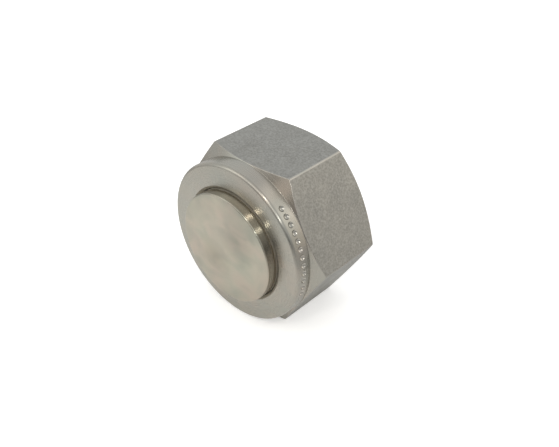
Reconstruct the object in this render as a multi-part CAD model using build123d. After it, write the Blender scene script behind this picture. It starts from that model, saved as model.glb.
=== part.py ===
from build123d import *
import math
import os

# Threaded cap for a tube fitting: a hexagon nut turned from bar, and the blanking
# plug that lies in it. The turning axis is Y. The thread's mouth is the origin and
# looks along +Y, the collar and the plug's tail look along -Y, and one wrench flat
# faces +Z. Millimetres and degrees.

# The tail takes the place of a tube, so it sets the bore that it passes through
tail_diameter = 19.5
tail_protrusion = 1.85
tail_edge_round = 0.25
tail_clearance = 0.15
bore_mouth_break = 0.4

# Thread, cut from its mouth inwards: the wall is left at the thread's minor diameter
thread_major = 25.4
thread_pitch = 1.27
thread_end_depth = 9.0
mouth_break = 0.15
mouth_half_angle = 60.0
groove_depth = 0.15
groove_length = 2.2
seat_half_angle = 45.0

# Outside of the nut
wall_over_thread = 1.5875
corner_round = 0.35
hexagon_length = 14.75
open_face_inset = 0.65
open_face_angle = 31.0
shoulder_angle = 27.0
collar_length = 3.05
collar_inset = 0.11
collar_front_round = 0.6
collar_root_round = 0.2

# Plug: a head wider than its tail, seated on the nut's cone, with a tapered nose
seat_clearance = 0.05
head_step = 1.55
head_land = 0.5
nose_angle = 20.0
nose_setback = 0.2
nose_edge_break = 0.2

# Worked out from the sizes above
across_flats = thread_major + 2 * wall_over_thread
half_flats = across_flats / 2
half_corners = half_flats / math.cos(math.radians(30))
minor_radius = thread_major / 2 - 0.5413 * thread_pitch
groove_radius = thread_major / 2 + groove_depth
mouth_radius = thread_major / 2 + mouth_break
mouth_depth = (mouth_radius - minor_radius) / math.tan(math.radians(mouth_half_angle))
tail_radius = tail_diameter / 2
bore_radius = tail_radius + tail_clearance
nut_length = hexagon_length + collar_length
collar_radius = half_flats - collar_inset
open_face_radius = half_flats - open_face_inset
seat_start_depth = thread_end_depth + groove_length
seat_slope = math.tan(math.radians(seat_half_angle))
seat_end_depth = seat_start_depth + (minor_radius - bore_radius) / seat_slope


def turned(outline):
    """Solid turned about the Y axis from (radius, depth below the mouth) points."""
    points = [(radius, -depth) for radius, depth in outline]
    return revolve(make_face(Polyline(*points, close=True)), Axis.Y)


def with_rounded_edge(solid, radius, depth, round_radius):
    """The solid with its circular edge at that radius and depth rounded over."""
    edge_there = solid.edges().filter_by(GeomType.CIRCLE).filter_by(
        lambda edge: abs(edge.radius - radius) < 0.01 and abs(edge.center().Y + depth) < 0.01
    )
    return fillet(edge_there, round_radius)


def hexagon_bar():
    """Bar stock with its long edges rounded and a flat facing +Z."""
    section = RegularPolygon(half_flats, 6, major_radius=False)
    bar = extrude(Plane.XZ * section, nut_length)
    return fillet(bar.edges().filter_by(Axis.Y), corner_round)


def turned_outside():
    """Envelope that the lathe leaves: open face, both cones and the collar."""
    clear_radius = half_corners + 1
    open_rise = (clear_radius - open_face_radius) * math.tan(math.radians(open_face_angle))
    shoulder_rise = (clear_radius - collar_radius) * math.tan(math.radians(shoulder_angle))
    envelope = turned([
        (0, 0),
        (open_face_radius, 0),
        (clear_radius, open_rise),
        (clear_radius, hexagon_length - shoulder_rise),
        (collar_radius, hexagon_length),
        (collar_radius, nut_length),
        (0, nut_length),
    ])
    envelope = with_rounded_edge(envelope, collar_radius, hexagon_length, collar_root_round)
    return with_rounded_edge(envelope, collar_radius, nut_length, collar_front_round)


def inside_of_nut():
    """Everything bored out: mouth, thread wall, run-out groove, seat and tail bore."""
    return turned([
        (0, 0),
        (mouth_radius, 0),
        (minor_radius, mouth_depth),
        (minor_radius, thread_end_depth),
        (groove_radius, thread_end_depth),
        (groove_radius, seat_start_depth),
        (minor_radius, seat_start_depth),
        (bore_radius, seat_end_depth),
        (bore_radius, nut_length - bore_mouth_break),
        (bore_radius + bore_mouth_break, nut_length),
        (0, nut_length),
    ])


def hex_nut():
    return (hexagon_bar() & turned_outside()) - inside_of_nut()


def plug():
    """One turned piece: tail, cone that bears on the nut's seat, land and nose."""
    head_radius = tail_radius + head_step
    cone_start = seat_start_depth - seat_clearance + (minor_radius - head_radius) / seat_slope
    cone_end = cone_start + head_step / seat_slope
    land_start = cone_start - head_land
    nose_tip = thread_end_depth + nose_setback
    nose_radius = head_radius - (land_start - nose_tip) * math.tan(math.radians(nose_angle))
    tail_end = nut_length + tail_protrusion
    blank = turned([
        (0, nose_tip),
        (nose_radius - nose_edge_break, nose_tip),
        (nose_radius, nose_tip + nose_edge_break),
        (head_radius, land_start),
        (head_radius, cone_start),
        (tail_radius, cone_end),
        (tail_radius, tail_end),
        (0, tail_end),
    ])
    return with_rounded_edge(blank, tail_radius, tail_end, tail_edge_round)


os.makedirs("parts", exist_ok=True)
export_step(hex_nut(), "parts/hex_nut.step")
export_step(plug(), "parts/plug.step")
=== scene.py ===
import bmesh
import bpy
import math
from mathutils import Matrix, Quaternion, Vector


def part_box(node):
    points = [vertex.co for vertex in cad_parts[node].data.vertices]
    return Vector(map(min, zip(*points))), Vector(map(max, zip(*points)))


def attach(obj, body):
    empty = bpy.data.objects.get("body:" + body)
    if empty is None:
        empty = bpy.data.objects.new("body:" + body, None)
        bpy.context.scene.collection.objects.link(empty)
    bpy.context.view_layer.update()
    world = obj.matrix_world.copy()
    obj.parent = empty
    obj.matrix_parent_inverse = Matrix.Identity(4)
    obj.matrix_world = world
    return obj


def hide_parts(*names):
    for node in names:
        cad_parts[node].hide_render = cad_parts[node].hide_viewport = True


# The object is turned about Y: the thread's mouth is at the origin and looks along +Y,
# the collar and the plug's face look along -Y, and the nut lies on its -Z flat.
# Dictionaries give millimetres and degrees; a depth is measured inwards from the mouth.

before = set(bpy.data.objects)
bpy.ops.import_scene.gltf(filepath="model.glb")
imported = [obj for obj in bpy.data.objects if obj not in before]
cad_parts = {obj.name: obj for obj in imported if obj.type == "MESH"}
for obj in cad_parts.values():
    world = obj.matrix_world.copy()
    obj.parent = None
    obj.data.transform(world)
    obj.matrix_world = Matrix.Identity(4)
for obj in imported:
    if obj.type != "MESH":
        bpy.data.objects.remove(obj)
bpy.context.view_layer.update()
nutLow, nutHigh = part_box("hex_nut")
plugLow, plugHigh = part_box("plug")
mm = 0.001
print("frame loaded:", sorted(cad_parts))


# camera

camera = {
    "azimuth": 42.244,
    "elevation": 35.948,
    "roll": 1.383,
    "distance": 120.87,
    "aim": (1.325, -8.017, -0.225),
    "lens": 45.54,
    "sensor": 36,
    "clipStart": 5,
    "clipEnd": 10000,
}
azimuth = math.radians(camera["azimuth"])
elevation = math.radians(camera["elevation"])
backward = Vector((
    math.sin(azimuth) * math.cos(elevation),
    -math.cos(azimuth) * math.cos(elevation),
    math.sin(elevation),
))
roll = Quaternion((0, 0, 1), math.radians(camera["roll"]))
bpy.ops.object.camera_add(location=(Vector(camera["aim"]) + backward * camera["distance"]) * mm)
eye = bpy.context.object
eye.name = "studioCamera"
eye.rotation_mode = "QUATERNION"
eye.rotation_quaternion = (-backward).to_track_quat("-Z", "Y") @ roll
eye.data.sensor_width = camera["sensor"]
eye.data.lens = camera["lens"]
eye.data.clip_start = camera["clipStart"] * mm
eye.data.clip_end = camera["clipEnd"] * mm
bpy.context.scene.camera = eye
bpy.context.scene.view_settings.view_transform = "Standard"
print("camera set")


# small helpers for edit mode

weld = 0.001 * mm  # points closer than this become one
slack = 0.01  # how far a pick by size may miss, in millimetres


def clearPicks():
    if bpy.context.object and bpy.context.object.mode != "OBJECT":
        bpy.ops.object.mode_set(mode="OBJECT")
    bpy.ops.object.select_all(action="DESELECT")


def choose(piece):
    clearPicks()
    bpy.context.view_layer.objects.active = piece
    piece.select_set(True)


def openPiece(piece):
    choose(piece)
    bpy.ops.object.mode_set(mode="EDIT")


def pick(piece, kind, test):
    # kind is VERT, EDGE or FACE; test gets the bmesh element
    bpy.ops.mesh.select_mode(type=kind)
    bpy.ops.mesh.select_all(action="DESELECT")
    cage = bmesh.from_edit_mesh(piece.data)
    cage.normal_update()
    rows = {"VERT": cage.verts, "EDGE": cage.edges, "FACE": cage.faces}[kind]
    found = [part for part in rows if test(part)]
    for part in found:
        part.select_set(True)
    cage.select_flush_mode()
    bmesh.update_edit_mesh(piece.data)
    return len(found)


def weldAll():
    bpy.ops.mesh.select_all(action="SELECT")
    bpy.ops.mesh.remove_doubles(threshold=weld)


def applyModifier(piece, kind, **settings):
    choose(piece)
    modifier = piece.modifiers.new(kind.lower(), kind)
    for name, value in settings.items():
        setattr(modifier, name, value)
    bpy.ops.object.modifier_apply(modifier=modifier.name)


def cutWith(piece, tool):
    # the cut faces keep the tool's finish, and the tool is thrown away
    applyModifier(
        piece, "BOOLEAN", operation="DIFFERENCE", solver="EXACT", object=tool, material_mode="TRANSFER")
    bpy.data.objects.remove(tool, do_unlink=True)


def drawOutline(name, points):
    # one vertex pushed from point to point, each a radius and a depth
    clearPicks()
    startRadius, startDepth = points[0]
    bpy.ops.mesh.primitive_plane_add(size=mm, location=(startRadius * mm, -startDepth * mm, 0))
    piece = bpy.context.object
    piece.name = piece.data.name = name
    bpy.ops.object.transform_apply(location=True, rotation=False, scale=False)
    bpy.ops.object.mode_set(mode="EDIT")
    bpy.ops.mesh.select_mode(type="VERT")
    bpy.ops.mesh.select_all(action="SELECT")
    bpy.ops.mesh.merge(type="CENTER")
    for here, there in zip(points, points[1:]):
        step = ((there[0] - here[0]) * mm, (here[1] - there[1]) * mm, 0)
        bpy.ops.mesh.extrude_region_move(TRANSFORM_OT_translate={"value": step})
    weldAll()
    return piece


def roundCorner(piece, corner, size, segments):
    # rounds one corner of an outline that is still a line
    radius, depth = corner
    spot = Vector((radius * mm, -depth * mm, 0))
    pick(piece, "VERT", lambda vert: (vert.co - spot).length < slack * mm)
    bpy.ops.mesh.bevel(
        offset=size * mm, segments=segments, profile=0.5, affect="VERTICES", clamp_overlap=False)


def roundEdges(width, segments, **settings):
    bpy.ops.mesh.bevel(
        offset=width * mm, offset_type="OFFSET", segments=segments, profile=0.5,
        affect="EDGES", clamp_overlap=False, **settings)


def lathe(piece, steps):
    # turns the outline about Y, half a step off the X axis
    bpy.ops.mesh.select_all(action="SELECT")
    bpy.ops.mesh.spin(
        steps=steps, angle=math.tau, center=(0, 0, 0), axis=(0, 1, 0), use_auto_merge=True)
    weldAll()
    bpy.ops.transform.rotate(value=math.pi / steps, orient_axis="Y", center_override=(0, 0, 0))
    bpy.ops.mesh.normals_make_consistent(inside=False)


def giveFinishes(piece, finishes):
    for finish in finishes:
        piece.data.materials.append(finish)


def paintPicked(piece, finish):
    piece.active_material_index = piece.data.materials.find(finish.name)
    bpy.ops.object.material_slot_assign()


def fromAxis(spot):
    return math.hypot(spot.x, spot.z)


def widest(element):
    return max(fromAxis(vert.co) for vert in element.verts)


# shader nodes

def addNode(tree, kind, **settings):
    node = tree.nodes.new(kind)
    for name, value in settings.items():
        setattr(node, name, value)
    return node


def feed(tree, node, socket, value):
    # value is a plain number, vector or colour, or another node's output
    if isinstance(value, bpy.types.NodeSocket):
        tree.links.new(value, node.inputs[socket])
    else:
        node.inputs[socket].default_value = value


def feedInOrder(tree, node, values):
    for place, value in enumerate(values):
        feed(tree, node, place, value)
    return node.outputs[0]


def sums(tree, operation, first, second=0.0, third=0.0):
    node = addNode(tree, "ShaderNodeMath", operation=operation)
    return feedInOrder(tree, node, (first, second, third))


def vectors(tree, operation, first, second=None, scale=None):
    node = addNode(tree, "ShaderNodeVectorMath", operation=operation)
    feed(tree, node, 0, first)
    if second is not None:
        feed(tree, node, 1, second)
    if scale is not None:
        feed(tree, node, "Scale", scale)
    return node.outputs["Value" if operation in ("LENGTH", "DOT_PRODUCT") else "Vector"]


def stretch(tree, value, low, high, newLow=0.0, newHigh=1.0, **settings):
    node = addNode(tree, "ShaderNodeMapRange", **settings)
    return feedInOrder(tree, node, (value, low, high, newLow, newHigh))


def blend(tree, amount, first, second, mode="MIX"):
    # a colour Mix node has its factor in socket 0 and its two colours in 6 and 7
    node = addNode(tree, "ShaderNodeMix", data_type="RGBA", blend_type=mode)
    for socket, value in ((0, amount), (6, first), (7, second)):
        feed(tree, node, socket, value)
    return node.outputs[2]


def addNoise(tree, place, dimensions="3D", **sockets):
    node = addNode(tree, "ShaderNodeTexNoise", noise_dimensions=dimensions)
    feed(tree, node, "Vector", place)
    for name, value in sockets.items():
        feed(tree, node, name, value)
    return node.outputs["Fac"]


# shader groups shared by the finishes; they take places in millimetres
# most of a noise lies between about 0.35 and 0.65, so that span is stretched to 0 to 1

def startGroup(name, inputs, outputs):
    tree = bpy.data.node_groups.new(name, "ShaderNodeTree")
    tree.interface.new_socket(name="Vector", in_out="INPUT", socket_type="NodeSocketVector")
    for label, value in inputs:
        socket = tree.interface.new_socket(name=label, in_out="INPUT", socket_type="NodeSocketFloat")
        socket.default_value = value
    for label in outputs:
        tree.interface.new_socket(name=label, in_out="OUTPUT", socket_type="NodeSocketFloat")
    return tree, addNode(tree, "NodeGroupInput").outputs, addNode(tree, "NodeGroupOutput")


def makeTurnedLines():
    # fine rings about the Y axis, mixed with coarser ones; they wander a little on their way round
    coarser = 5.0
    fineShare = 0.55
    tree, given, out = startGroup(
        "turnedLines", [("Spacing", 0.12), ("Wander", 0.4)], ["Lines", "Height"])
    parts = addNode(tree, "ShaderNodeSeparateXYZ")
    feed(tree, parts, 0, given["Vector"])
    outward = vectors(tree, "MULTIPLY", given["Vector"], (1, 0, 1))
    radius = vectors(tree, "LENGTH", outward)
    around = addNode(tree, "ShaderNodeSeparateXYZ")
    feed(tree, around, 0, vectors(tree, "NORMALIZE", outward))
    rings = []
    for wider in (1.0, coarser):
        gap = sums(tree, "MULTIPLY", given["Spacing"], wider)
        across = addNode(tree, "ShaderNodeCombineXYZ")
        feed(tree, across, 0, sums(tree, "DIVIDE", radius, gap))
        feed(tree, across, 1, sums(tree, "DIVIDE", parts.outputs[1], gap))
        feed(tree, across, 2, sums(tree, "MULTIPLY", around.outputs[0], given["Wander"]))
        turn = sums(tree, "MULTIPLY", around.outputs[2], given["Wander"])
        rings.append(addNoise(
            tree, across.outputs[0], "4D", W=turn, Scale=1.0, Detail=2.0, Roughness=0.6))
    coarse = sums(tree, "MULTIPLY", rings[1], 1.0 - fineShare)
    both = sums(tree, "MULTIPLY_ADD", rings[0], fineShare, coarse)
    feed(tree, out, "Lines", stretch(tree, both, 0.33, 0.67))
    feed(tree, out, "Height", both)
    return tree


def makeBlastGrain():
    # the fine even pitting that glass beads leave
    grainShare = 0.6
    tree, given, out = startGroup("blastGrain", [("Size", 0.3)], ["Speckle", "Height"])
    spot = vectors(tree, "SCALE", given["Vector"], scale=sums(tree, "DIVIDE", 1.0, given["Size"]))
    grain = addNoise(tree, spot, Scale=1.0, Detail=3.0, Roughness=0.65)
    pits = addNode(tree, "ShaderNodeTexVoronoi", feature="SMOOTH_F1")
    feed(tree, pits, "Vector", spot)
    feed(tree, pits, "Scale", 1.6)
    feed(tree, pits, "Smoothness", 0.4)
    both = sums(
        tree, "MULTIPLY_ADD", pits.outputs["Distance"], 1.0 - grainShare,
        sums(tree, "MULTIPLY", grain, grainShare))
    feed(tree, out, "Speckle", stretch(tree, both, 0.34, 0.68))
    feed(tree, out, "Height", both)
    return tree


def makeHandlingMarks():
    # broad cloudy patches, and thinner smears inside them
    tree, given, out = startGroup("handlingMarks", [("Size", 6.0)], ["Patches", "Smears"])
    spot = vectors(tree, "SCALE", given["Vector"], scale=sums(tree, "DIVIDE", 1.0, given["Size"]))
    narrower = vectors(tree, "MULTIPLY", spot, (1.6, 1.6, 2.2))
    clouds = addNoise(tree, spot, Scale=1.0, Detail=3.0, Distortion=0.4)
    thin = addNoise(tree, narrower, Scale=1.0, Detail=2.0, Distortion=0.5)
    feed(tree, out, "Patches", stretch(tree, clouds, 0.35, 0.65))
    feed(tree, out, "Smears", stretch(tree, thin, 0.4, 0.7))
    return tree


def makeEdgeWear():
    # 1 where an edge lies within Reach, in metres, broken up by a little noise
    plainMatch = 0.995  # how well a rounded normal agrees with the true one away from edges
    edgeMatch = 0.9  # and on an edge
    tree, given, out = startGroup("edgeWear", [("Reach", 0.00015)], ["Edge"])
    rounded = addNode(tree, "ShaderNodeBevel", samples=6)
    feed(tree, rounded, "Radius", given["Reach"])
    facing = addNode(tree, "ShaderNodeNewGeometry").outputs["Normal"]
    bare = stretch(
        tree, vectors(tree, "DOT_PRODUCT", rounded.outputs[0], facing), plainMatch, edgeMatch)
    chips = addNoise(tree, given["Vector"], Scale=1.7, Detail=3.0)
    worn = sums(tree, "MULTIPLY", bare, stretch(tree, chips, 0.35, 0.6, 0.45, 1.0))
    feed(tree, out, "Edge", worn)
    return tree


turnedLines = makeTurnedLines()
blastGrain = makeBlastGrain()
handlingMarks = makeHandlingMarks()
edgeWear = makeEdgeWear()
print("shader groups made")


# finishes

def startFinish(name):
    finish = bpy.data.materials.new(name)
    finish.use_nodes = True
    tree = finish.node_tree
    shader = tree.nodes["Principled BSDF"]
    shader.inputs["Metallic"].default_value = 1.0
    place = addNode(tree, "ShaderNodeTexCoord").outputs["Object"]
    return finish, tree, shader, vectors(tree, "SCALE", place, scale=1 / mm)


def useGroup(tree, group, **values):
    node = addNode(tree, "ShaderNodeGroup", node_tree=group)
    for name, value in values.items():
        feed(tree, node, name, value)
    return node.outputs


def addBump(tree, shader, look, height):
    bump = addNode(tree, "ShaderNodeBump")
    feed(tree, bump, "Strength", look["bump"])
    feed(tree, bump, "Distance", look["bumpDepth"] * mm)
    feed(tree, bump, "Height", height)
    feed(tree, shader, "Normal", bump.outputs[0])


def wearEdges(tree, shader, look, body, edge):
    # the body colour goes to the shader with its edges bared
    bared = sums(tree, "MULTIPLY", edge, look["edgeWear"])
    feed(tree, shader, "Base Color", blend(tree, bared, body, look["edge"]))


blastedLook = {
    "colour": (0.362, 0.357, 0.330, 1),
    "dark": (0.256, 0.252, 0.231, 1),
    "edge": (0.42, 0.41, 0.375, 1),
    "grain": 0.5,
    "patchSize": 5.0,
    "patches": 0.12,
    "edgeReach": 0.14,
    "edgeWear": 0.4,
    "edgeRoughness": 0.27,
    "roughness": (0.40, 0.50),
    "bump": 0.4,
    "bumpDepth": 0.03,
}


def blastedSteel(name, look):
    finish, tree, shader, millimetres = startFinish(name)
    grain = useGroup(tree, blastGrain, Vector=millimetres, Size=look["grain"])
    marks = useGroup(tree, handlingMarks, Vector=millimetres, Size=look["patchSize"])
    edge = useGroup(tree, edgeWear, Vector=millimetres, Reach=look["edgeReach"] * mm)["Edge"]
    body = blend(tree, grain["Speckle"], look["dark"], look["colour"])
    body = blend(tree, sums(tree, "MULTIPLY", marks["Patches"], look["patches"]), body, look["edge"])
    wearEdges(tree, shader, look, body, edge)
    dull = stretch(tree, marks["Smears"], 0.0, 1.0, *look["roughness"])
    feed(tree, shader, "Roughness", stretch(tree, edge, 0.0, 1.0, dull, look["edgeRoughness"]))
    addBump(tree, shader, look, grain["Height"])
    return finish


def darkenPatches(tree, look, body, millimetres, patches):
    # darker tints round given places, with cloudy rims; on the plug's face the middle one is painted shade
    # each of them is x and z, reach, amount and tint
    cloudy = 1.5  # millimetres by which the patches pull a rim inwards
    softRim = 1.0  # millimetres of fade beyond the reach
    solidCore = 0.3  # share of the reach that has the full tint
    seenFlat = vectors(tree, "MULTIPLY", millimetres, (1, 0, 1))
    for (x, z), reach, amount, tint in look["darkPatches"]:
        away = vectors(tree, "LENGTH", vectors(tree, "SUBTRACT", seenFlat, (x, 0, z)))
        away = sums(tree, "MULTIPLY_ADD", patches, cloudy, away)
        here = stretch(tree, away, solidCore * reach, reach + softRim, amount, 0.0)
        body = blend(tree, here, body, tint, "MULTIPLY")
    return body


def turnedSteel(name, look):
    finish, tree, shader, millimetres = startFinish(name)
    lines = useGroup(
        tree, turnedLines, Vector=millimetres, Spacing=look["spacing"], Wander=look["wander"])
    marks = useGroup(tree, handlingMarks, Vector=millimetres, Size=look["patchSize"])
    edge = useGroup(tree, edgeWear, Vector=millimetres, Reach=look["edgeReach"] * mm)["Edge"]
    body = blend(tree, lines["Lines"], look["dark"], look["colour"])
    body = blend(tree, sums(tree, "MULTIPLY", marks["Patches"], look["patches"]), body, look["warm"])
    body = blend(tree, sums(tree, "MULTIPLY", marks["Smears"], look["smears"]), body, look["cool"])
    body = darkenPatches(tree, look, body, millimetres, marks["Patches"])
    wearEdges(tree, shader, look, body, edge)
    smooth, dull = look["roughness"]
    fromSmears = look["smearShare"] * (dull - smooth)
    ringed = stretch(tree, lines["Lines"], 0.0, 1.0, smooth, dull - fromSmears)
    roughness = sums(tree, "MULTIPLY_ADD", marks["Smears"], fromSmears, ringed)
    feed(tree, shader, "Roughness", roughness)
    shader.inputs["Anisotropic"].default_value = look["stretch"]
    shader.inputs["Anisotropic Rotation"].default_value = 0.25  # a quarter turn, across the rings
    feed(tree, shader, "Tangent", vectors(tree, "CROSS_PRODUCT", (0, 1, 0), millimetres))
    addBump(tree, shader, look, lines["Height"])
    return finish


collarLook = {
    "colour": (0.400, 0.388, 0.340, 1),
    "dark": (0.362, 0.350, 0.306, 1),
    "warm": (0.425, 0.368, 0.320, 1),
    "cool": (0.335, 0.352, 0.322, 1),
    "edge": (0.60, 0.57, 0.52, 1),
    "spacing": 0.11,
    "wander": 0.5,
    "patchSize": 7.0,
    "patches": 0.5,
    "smears": 0.45,
    "darkPatches": [],
    "edgeReach": 0.1,
    "edgeWear": 0.5,
    "roughness": (0.24, 0.31),
    "smearShare": 0.4,
    "stretch": 0.78,
    "bump": 0.08,
    "bumpDepth": 0.006,
}
tailLook = dict(
    collarLook,
    colour=(0.432, 0.414, 0.336, 1),
    dark=(0.397, 0.380, 0.308, 1),
    warm=(0.448, 0.376, 0.316, 1),
    cool=(0.300, 0.313, 0.264, 1),
    patchSize=6.5,
    patches=0.75,
    smears=0.55,
    # darker patches on the plug's face: the first is painted shade over the face's middle, where a turned
    # face looks darker; the other two darken it above the middle towards +X and below it towards -X
    darkPatches=[
        ((2.8, 2.8), 4.2, 1.0, (0.73, 0.77, 0.76, 1)),
        ((4.5, 9.0), 5.5, 1.0, (0.82, 0.85, 0.85, 1)),
        ((-2.6, -2.8), 3.8, 0.9, (0.87, 0.85, 0.82, 1)),
    ],
    roughness=(0.2, 0.27),
    bump=0.1,
)
sideLook = dict(
    collarLook,
    colour=(0.47, 0.44, 0.37, 1),
    dark=(0.40, 0.375, 0.315, 1),
    spacing=0.08,
    patches=0.2,
    smears=0.15,
    roughness=(0.16, 0.22),
    stretch=0.85,
    bump=0.04,
)
# the gap between the plug and the bore: rougher steel, and a lighter colour than the plug's side, which is
# painted light that lifts the gap's shade
gapPaintedLightLook = dict(
    sideLook,
    colour=(0.56, 0.53, 0.46, 1),
    dark=(0.50, 0.475, 0.41, 1),
    roughness=(0.6, 0.7),
    stretch=0.0,
)
threadLook = dict(
    collarLook,
    colour=(0.38, 0.365, 0.325, 1),
    dark=(0.30, 0.288, 0.255, 1),
    spacing=0.05,
    roughness=(0.26, 0.38),
    stretch=0.6,
    bump=0.15,
)
# the punched dots: lighter than the rim, a painted highlight that makes them glint brighter
markLook = dict(
    collarLook,
    colour=(0.50, 0.485, 0.44, 1),
    dark=(0.42, 0.405, 0.365, 1),
    roughness=(0.15, 0.22),
    stretch=0.0,
)
edgeLook = dict(
    collarLook,
    colour=(0.42, 0.41, 0.375, 1),
    dark=(0.35, 0.34, 0.31, 1),
    roughness=(0.24, 0.34),
    stretch=0.2,
)

blastedFlats = blastedSteel("blastedFlats", blastedLook)
turnedCollar = turnedSteel("turnedCollar", collarLook)
bareEdge = turnedSteel("bareEdge", edgeLook)
threadSteel = turnedSteel("threadSteel", threadLook)
punchedMark = turnedSteel("punchedMark", markLook)
turnedTail = turnedSteel("turnedTail", tailLook)
tailSide = turnedSteel("tailSide", sideLook)
gapPaintedLight = turnedSteel("gapPaintedLight", gapPaintedLightLook)
print("finishes made")


# hexagon nut: turned, milled, rounded, tapped and punched

nut = {
    "latheSteps": 240,
    "hexagonLength": 14.75,
    "openFaceInset": 0.65,  # from the flats in to the open face
    "openFaceAngle": 31.0,
    "shoulderAngle": 27.0,
    "collarInset": 0.11,  # from the flats in to the collar's rim
    "mouthRadius": 12.85,
    "mouthDepth": 0.4836,
    "minorRadius": 12.0125,  # the hole before it is tapped
    "threadEnd": 9.0,
    "grooveRadius": 12.85,
    "seatStart": 11.2,  # a 45 degree cone from here down to the bore
    "boreRadius": 9.9,
    "boreBreak": 0.4,
    "collarRound": 0.6,
    "rootRound": 0.05,
    "boreRound": 0.06,
    "openFaceRound": 0.06,
    "cornerRound": 0.35,
    "endRound": 0.09,
}
dots = {
    "count": 12,
    "first": 49.5,
    "last": -12.0,
    "radius": 0.58,
    "sink": 0.33,
    "fromFace": 1.5,
    "halfBand": 0.65,  # the rim has an extra ring on each side of the row
    "segments": 20,
    "rings": 12,
}

halfFlats = nutHigh.z / mm
nutLength = -nutLow.y / mm
halfCorners = halfFlats / math.cos(math.radians(30))
outside = halfCorners + 1.0  # clear of the bar, so that the flats cut the cones
openRadius = halfFlats - nut["openFaceInset"]
collarRadius = halfFlats - nut["collarInset"]
openRise = (outside - openRadius) * math.tan(math.radians(nut["openFaceAngle"]))
shoulderRise = (outside - collarRadius) * math.tan(math.radians(nut["shoulderAngle"]))
seatEnd = nut["seatStart"] + nut["minorRadius"] - nut["boreRadius"]
boreMouth = nut["boreRadius"] + nut["boreBreak"]
dotDepth = nutLength - dots["fromFace"]

hexNut = drawOutline("hexNut", [  # the last point closes the outline
    (nut["mouthRadius"], 0),
    (openRadius, 0),
    (outside, openRise),
    (outside, nut["hexagonLength"] - shoulderRise),
    (collarRadius, nut["hexagonLength"]),
    (collarRadius, dotDepth - dots["halfBand"]),
    (collarRadius, dotDepth + dots["halfBand"]),
    (collarRadius, nutLength),
    (boreMouth, nutLength),
    (nut["boreRadius"], nutLength - nut["boreBreak"]),
    (nut["boreRadius"], seatEnd),
    (nut["minorRadius"], nut["seatStart"]),
    (nut["grooveRadius"], nut["seatStart"]),
    (nut["grooveRadius"], nut["threadEnd"]),
    (nut["minorRadius"], nut["threadEnd"]),
    (nut["minorRadius"], nut["mouthDepth"]),
    (nut["mouthRadius"], 0),
])
giveFinishes(hexNut, (turnedCollar, blastedFlats, bareEdge, threadSteel, punchedMark, gapPaintedLight))
roundCorner(hexNut, (collarRadius, nut["hexagonLength"]), nut["rootRound"], segments=2)
roundCorner(hexNut, (collarRadius, nutLength), nut["collarRound"], segments=10)
roundCorner(hexNut, (boreMouth, nutLength), nut["boreRound"], segments=3)
roundCorner(hexNut, (openRadius, 0), nut["openFaceRound"], segments=2)
lathe(hexNut, nut["latheSteps"])
print("nut blank turned")

for turn in range(6):  # mill the six flats
    angle = math.radians(30 + 60 * turn)
    side = Vector((math.cos(angle), 0, math.sin(angle)))
    bpy.ops.mesh.select_mode(type="FACE")
    bpy.ops.mesh.select_all(action="SELECT")
    bpy.ops.mesh.bisect(
        plane_co=side * halfFlats * mm, plane_no=side, use_fill=True, clear_outer=True,
        threshold=weld / 10)

barMargin = 0.05  # less than the collar's inset, so a pick on the bar leaves the collar out
stripArea = 3 * mm * mm  # between a strip of a rounded long edge and a flat


def onBar(face):
    middle = face.calc_center_median()
    alongAxis = abs(face.normal.y) < 0.02
    farOut = fromAxis(middle) > (halfFlats - barMargin) * mm
    return alongAxis and farOut and face.normal.dot(middle) > 0


def longEdge(edge):
    run = edge.verts[1].co - edge.verts[0].co
    alongAxis = abs(run.y) > 0.999 * run.length
    atCorner = min(fromAxis(vert.co) for vert in edge.verts) > (halfCorners - barMargin) * mm
    return alongAxis and atCorner


def endEdge(edge):
    return len(edge.link_faces) == 2 and onBar(edge.link_faces[0]) != onBar(edge.link_faces[1])


def inThread(face):
    return widest(face) < (nut["grooveRadius"] + slack) * mm and face.calc_center_median().y > -seatEnd * mm


def inTailBore(face):
    return widest(face) < (boreMouth - slack) * mm and face.calc_center_median().y < -seatEnd * mm


print("long edges:", pick(hexNut, "EDGE", longEdge))
cornerWidth = nut["cornerRound"] * math.tan(math.radians(30))  # gives a hexagon's corner its radius
roundEdges(cornerWidth, segments=4)
pick(hexNut, "FACE", onBar)
paintPicked(hexNut, blastedFlats)
pick(hexNut, "FACE", lambda face: onBar(face) and face.calc_area() < stripArea)
paintPicked(hexNut, bareEdge)
print("end edges:", pick(hexNut, "EDGE", endEdge))
roundEdges(nut["endRound"], segments=3, material=hexNut.data.materials.find(bareEdge.name))
pick(hexNut, "FACE", inThread)
paintPicked(hexNut, threadSteel)
pick(hexNut, "FACE", inTailBore)
paintPicked(hexNut, gapPaintedLight)
bpy.ops.object.mode_set(mode="OBJECT")
print("flats milled")


# tap that cuts the thread: one turn of its profile, screwed along the axis

tap = {
    "majorRadius": 12.7,
    "coreRadius": 11.85,
    "pitch": 1.27,
    "crest": 0.125,  # flat at the major radius, as a share of the pitch
    "turns": 9,
    "start": 10.6,
    "point": 2.5,  # length of the cones that close its ends
    "steps": 96,
}

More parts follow.
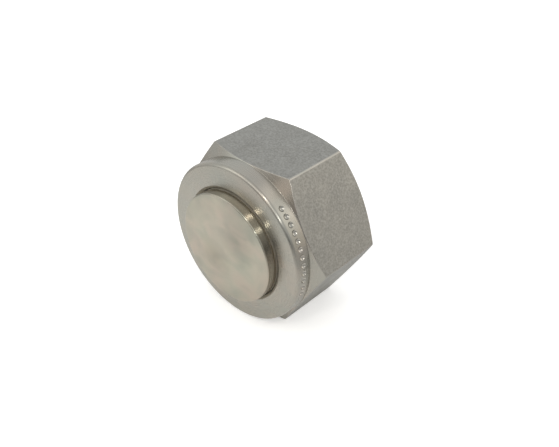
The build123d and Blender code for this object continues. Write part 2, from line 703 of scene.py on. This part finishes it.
pitch = tap["pitch"]
flankRun = (tap["majorRadius"] - tap["coreRadius"]) * math.tan(math.radians(30))
crestStart = tap["start"] - flankRun
crestEnd = crestStart - tap["crest"] * pitch
tapTool = drawOutline("tapTool", [
    (tap["coreRadius"], tap["start"]),
    (tap["majorRadius"], crestStart),
    (tap["majorRadius"], crestEnd),
    (tap["coreRadius"], crestEnd - flankRun),
    (tap["coreRadius"], tap["start"] - pitch),
])
bpy.ops.object.mode_set(mode="OBJECT")
applyModifier(
    tapTool, "SCREW", axis="Y", angle=math.tau, screw_offset=pitch * mm, iterations=tap["turns"],
    steps=tap["steps"], render_steps=tap["steps"], use_merge_vertices=True, merge_threshold=weld)
openPiece(tapTool)
weldAll()
tapLow = -tap["start"]
tapHigh = tapLow + pitch * tap["turns"]
tapMiddle = (tapLow + tapHigh + pitch) / 2


def openEnd(edge, end):
    # end is 1 for the tap's inner end and -1 for its outer one
    return len(edge.link_faces) == 1 and end * (edge.verts[0].co.y / mm - tapMiddle) < 0


for end, rim in ((1, tapLow + pitch), (-1, tapHigh)):  # close both ends to a point on the axis
    found = pick(tapTool, "EDGE", lambda edge: openEnd(edge, end))
    bpy.ops.mesh.extrude_region_move(TRANSFORM_OT_translate={"value": (0, 0, 0)})
    point = (0, (rim - end * tap["point"]) * mm, 0)
    bpy.ops.transform.resize(value=(0, 0, 0), center_override=point)
    bpy.ops.mesh.remove_doubles(threshold=weld)
    print("tap end closed from", found, "edges")
bpy.ops.mesh.select_all(action="SELECT")
bpy.ops.mesh.normals_make_consistent(inside=False)
bpy.ops.object.mode_set(mode="OBJECT")
giveFinishes(tapTool, [threadSteel])
cutWith(hexNut, tapTool)
print("thread cut")


# row of punched dots round the collar, from the first angle down to the last

dotStep = (dots["last"] - dots["first"]) / (dots["count"] - 1)
dotReach = collarRadius + dots["radius"] - dots["sink"]
punches = []
for index in range(dots["count"]):
    clearPicks()
    around = math.radians(dots["first"] + dotStep * index)
    place = (dotReach * math.cos(around) * mm, -dotDepth * mm, dotReach * math.sin(around) * mm)
    bpy.ops.mesh.primitive_uv_sphere_add(
        segments=dots["segments"], ring_count=dots["rings"], radius=dots["radius"] * mm, location=place)
    punches.append(bpy.context.object)
clearPicks()
for punch in punches:
    punch.select_set(True)
bpy.context.view_layer.objects.active = punches[0]
bpy.ops.object.join()
punchTool = bpy.context.object
giveFinishes(punchTool, [punchedMark])
cutWith(hexNut, punchTool)
print("dots punched")


# plug

plug = {
    "latheSteps": 192,
    "tailRadius": 9.75,
    "headRadius": 11.3,
    "noseRadius": 10.51,
    "landStart": 11.36,
    "coneStart": 11.86,  # a 45 degree cone from here down to the tail
    "faceRound": 0.25,
    "noseRound": 0.2,
    "edgeRound": 0.05,
}

plugTail = -plugLow.y / mm
plugNose = -plugHigh.y / mm
coneEnd = plug["coneStart"] + plug["headRadius"] - plug["tailRadius"]
sealPlug = drawOutline("sealPlug", [
    (0, plugNose),
    (plug["noseRadius"], plugNose),
    (plug["headRadius"], plug["landStart"]),
    (plug["headRadius"], plug["coneStart"]),
    (plug["tailRadius"], coneEnd),
    (plug["tailRadius"], nutLength),
    (plug["tailRadius"], plugTail),
    (0, plugTail),
])
giveFinishes(sealPlug, (turnedTail, tailSide, gapPaintedLight))
roundCorner(sealPlug, (plug["noseRadius"], plugNose), plug["noseRound"], segments=4)
for corner in (
    (plug["headRadius"], plug["landStart"]),
    (plug["headRadius"], plug["coneStart"]),
    (plug["tailRadius"], coneEnd),
):
    roundCorner(sealPlug, corner, plug["edgeRound"], segments=2)
roundCorner(sealPlug, (plug["tailRadius"], plugTail), plug["faceRound"], segments=8)
lathe(sealPlug, plug["latheSteps"])


def behindFace(face):
    return face.calc_center_median().y > -(plugTail - plug["faceRound"]) * mm


def insideNut(face):
    clearOfCone = coneEnd + 2 * plug["edgeRound"]
    return -nutLength * mm < face.calc_center_median().y < -clearOfCone * mm


pick(sealPlug, "FACE", behindFace)
paintPicked(sealPlug, tailSide)
pick(sealPlug, "FACE", insideNut)
paintPicked(sealPlug, gapPaintedLight)
bpy.ops.object.mode_set(mode="OBJECT")
print("plug turned")


# smooth shading

smoothing = {
    "weld": 0.0004,
    "sharpAngle": 30,
    "weight": 80,
    "enlarged": 1000,
}


def resizePiece(piece, factor):
    choose(piece)
    piece.scale = (factor, factor, factor)
    bpy.ops.object.transform_apply(location=False, rotation=False, scale=True)


for piece in (hexNut, sealPlug):
    openPiece(piece)
    bpy.ops.mesh.select_all(action="SELECT")
    bpy.ops.mesh.remove_doubles(threshold=smoothing["weld"] * mm)
    bpy.ops.mesh.normals_make_consistent(inside=False)
    bpy.ops.object.mode_set(mode="OBJECT")
    bpy.ops.object.shade_smooth_by_angle(angle=math.radians(smoothing["sharpAngle"]))
    # weighted normals fail where a vertex's faces add up to under 0.000001 square metres
    resizePiece(piece, smoothing["enlarged"])
    applyModifier(piece, "WEIGHTED_NORMAL", keep_sharp=True, weight=smoothing["weight"])
    resizePiece(piece, 1 / smoothing["enlarged"])
print("shading smoothed")


# paper floor; its distances are in metres

floorLook = {
    "size": 0.4,
    "gap": 0.01 * mm,
    "colour": (0.93, 0.93, 0.925, 1),
    "fibre": (0.95, 0.95, 0.945, 1),
    "fibreScale": 900.0,
    "glow": 0.34,
    # a painted pool of light on the paper, which only the steel's reflections see
    "paintedPoolLight": 0.2,
    "poolCentre": (-0.012, -0.032, 0),
    "poolFade": (0.008, 0.035),
    # painted shade: the paper darker far off, also only in reflections
    "paintedFarShade": (0.58, 0.58, 0.58, 1),
    "farFade": (0.035, 0.075),
}


def paperFloor(look):
    paper = bpy.data.materials.new("paperFloor")
    paper.use_nodes = True
    tree = paper.node_tree
    shader = tree.nodes["Principled BSDF"]
    shader.inputs["Roughness"].default_value = 0.9
    shader.inputs["Specular IOR Level"].default_value = 0.1
    shader.inputs["Emission Color"].default_value = (1, 1, 1, 1)
    place = addNode(tree, "ShaderNodeTexCoord").outputs["Object"]
    path = addNode(tree, "ShaderNodeLightPath").outputs
    fibre = addNoise(tree, place, Scale=look["fibreScale"])
    colour = blend(tree, fibre, look["colour"], look["fibre"])
    # in the steel's reflections only, the paper has a painted pool of light near the object, and further
    # off it is painted darker, as painted shade of a dimmer room floor
    fromPool = vectors(tree, "LENGTH", vectors(tree, "SUBTRACT", place, look["poolCentre"]))
    pool = stretch(tree, fromPool, *look["poolFade"], look["paintedPoolLight"], 0.0)
    away = stretch(tree, fromPool, *look["farFade"])
    far = sums(tree, "MULTIPLY", away, path["Is Glossy Ray"])
    feed(tree, shader, "Base Color", blend(tree, far, colour, look["paintedFarShade"]))
    inMetal = sums(tree, "MULTIPLY", path["Is Glossy Ray"], pool)
    glow = sums(tree, "MULTIPLY_ADD", path["Is Camera Ray"], look["glow"], inMetal)
    feed(tree, shader, "Emission Strength", glow)
    return paper


clearPicks()
bpy.ops.mesh.primitive_plane_add(
    size=floorLook["size"], location=(0, 0, nutLow.z - floorLook["gap"]))
floor = bpy.context.object
floor.name = floor.data.name = "studioFloor"
giveFinishes(floor, [paperFloor(floorLook)])
print("floor laid")


# soft room: an even sky, darker low down on the right, with glows that the steel mirrors

roomLook = {
    "level": 0.85,
    "band": 0.38,
    "bandHeight": (0.16, 0.32),
    "bandSide": (0.843, -0.537, 0),
    "bandFade": (0.0, 0.35),
}
glows = [
    # centre, half angle, what it adds to the room
    # all round and above, for the flats, the collar's rim and the plug's side
    ((0.39, 0.68, 0.62), 38, (0.32, 0.28, 0.23)),
    ((0.73, 0.68, 0.12), 32, (0.38, 0.33, 0.26)),
    ((-0.39, 0.68, 0.62), 38, (0.07, 0.09, 0.11)),
    ((0.79, 0.0, 0.62), 38, (-0.10, -0.10, -0.10)),
    ((0.0, 0.0, 1.0), 40, (-0.15, -0.15, -0.15)),
    # in front, for the cone behind the collar, the round on its face and the plug's edge
    ((-0.68, -0.70, 0.20), 16, (0.70, 0.70, 0.68)),
    ((0.33, -0.80, 0.50), 13, (1.00, 0.97, 0.90)),
    ((0.13, -0.78, 0.61), 13, (1.20, 1.16, 1.06)),
    ((-0.12, -0.75, 0.65), 13, (0.90, 0.89, 0.86)),
    ((-0.20, -0.64, 0.74), 28, (0.28, 0.27, 0.24)),
    ((-0.36, -0.68, 0.64), 13, (0.80, 0.79, 0.77)),
    ((-0.60, -0.60, 0.53), 15, (1.20, 1.18, 1.12)),
    ((-0.54, -0.83, 0.12), 24, (-0.14, -0.14, -0.14)),
    ((-0.13, -0.98, 0.10), 19, (-0.34, -0.37, -0.39)),
    ((-0.14, -0.98, 0.11), 8, (1.30, 1.18, 1.08)),
    # more for the near part of the rim, and less for the round below it
    ((0.57, 0.60, 0.56), 14, (0.70, 0.70, 0.67)),
    ((0.24, 0.60, 0.76), 20, (0.22, 0.24, 0.25)),
    ((0.64, -0.77, 0.08), 18, (-0.34, -0.34, -0.34)),
]


def lightRoom(look):
    world = bpy.data.worlds.new("softRoom")
    bpy.context.scene.world = world
    world.use_nodes = True
    tree = world.node_tree
    toSky = addNode(tree, "ShaderNodeTexCoord").outputs["Generated"]
    skyParts = addNode(tree, "ShaderNodeSeparateXYZ")
    feed(tree, skyParts, 0, toSky)
    low = stretch(tree, skyParts.outputs[2], *look["bandHeight"], 1.0, 0.0)
    toSide = vectors(tree, "DOT_PRODUCT", toSky, look["bandSide"])
    right = stretch(tree, toSide, *look["bandFade"])
    band = sums(tree, "MULTIPLY", sums(tree, "MULTIPLY", low, right), look["band"])
    room = vectors(tree, "SCALE", (1, 1, 1), scale=sums(tree, "SUBTRACT", look["level"], band))
    for centre, spread, added in glows:
        near = vectors(tree, "DOT_PRODUCT", toSky, tuple(Vector(centre).normalized()))
        edge = math.cos(math.radians(spread))
        soft = stretch(tree, near, edge, 1.0, interpolation_type="SMOOTHSTEP")
        room = vectors(tree, "ADD", room, vectors(tree, "SCALE", added, scale=soft))
    path = addNode(tree, "ShaderNodeLightPath").outputs
    white = (1, 1, 1, 1)
    feed(tree, tree.nodes["Background"], "Color", blend(tree, path["Is Camera Ray"], room, white))


lightRoom(roomLook)
print("room lit")


# two round lamps; a level of 1 is as bright as white paper under the soft room, distances in metres

lampTarget = Vector((0, -0.009, 0))
lamps = {
    "lampByCamera": {
        "direction": (0.56, -0.631, 0.536),
        "distance": 0.5,
        "size": 0.035,
        "level": 60.0,
        "colour": (1, 0.98, 0.95),
    },
    "lampHigh": {
        "direction": (0.21, -0.6, 0.77),
        "distance": 0.5,
        "size": 0.055,
        "level": 26.0,
        "colour": (1, 0.95, 0.90),
    },
}


def hangLamp(name, lamp):
    clearPicks()
    toLamp = Vector(lamp["direction"]).normalized()
    bpy.ops.object.light_add(type="AREA", location=lampTarget + toLamp * lamp["distance"])
    light = bpy.context.object
    light.name = name
    light.rotation_mode = "QUATERNION"
    light.rotation_quaternion = toLamp.to_track_quat("Z", "Y")
    light.data.shape = "DISK"
    light.data.size = lamp["size"]
    discArea = math.pi * lamp["size"] ** 2 / 4
    light.data.energy = lamp["level"] * math.pi * discArea
    light.data.color = lamp["colour"]


for name, lamp in lamps.items():
    hangLamp(name, lamp)
print("lamps hung")


# hand over to the frame

for piece, node, finish in ((hexNut, "hex_nut", "nut_steel"), (sealPlug, "plug", "plug_steel")):
    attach(piece, "root")
    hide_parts(node)
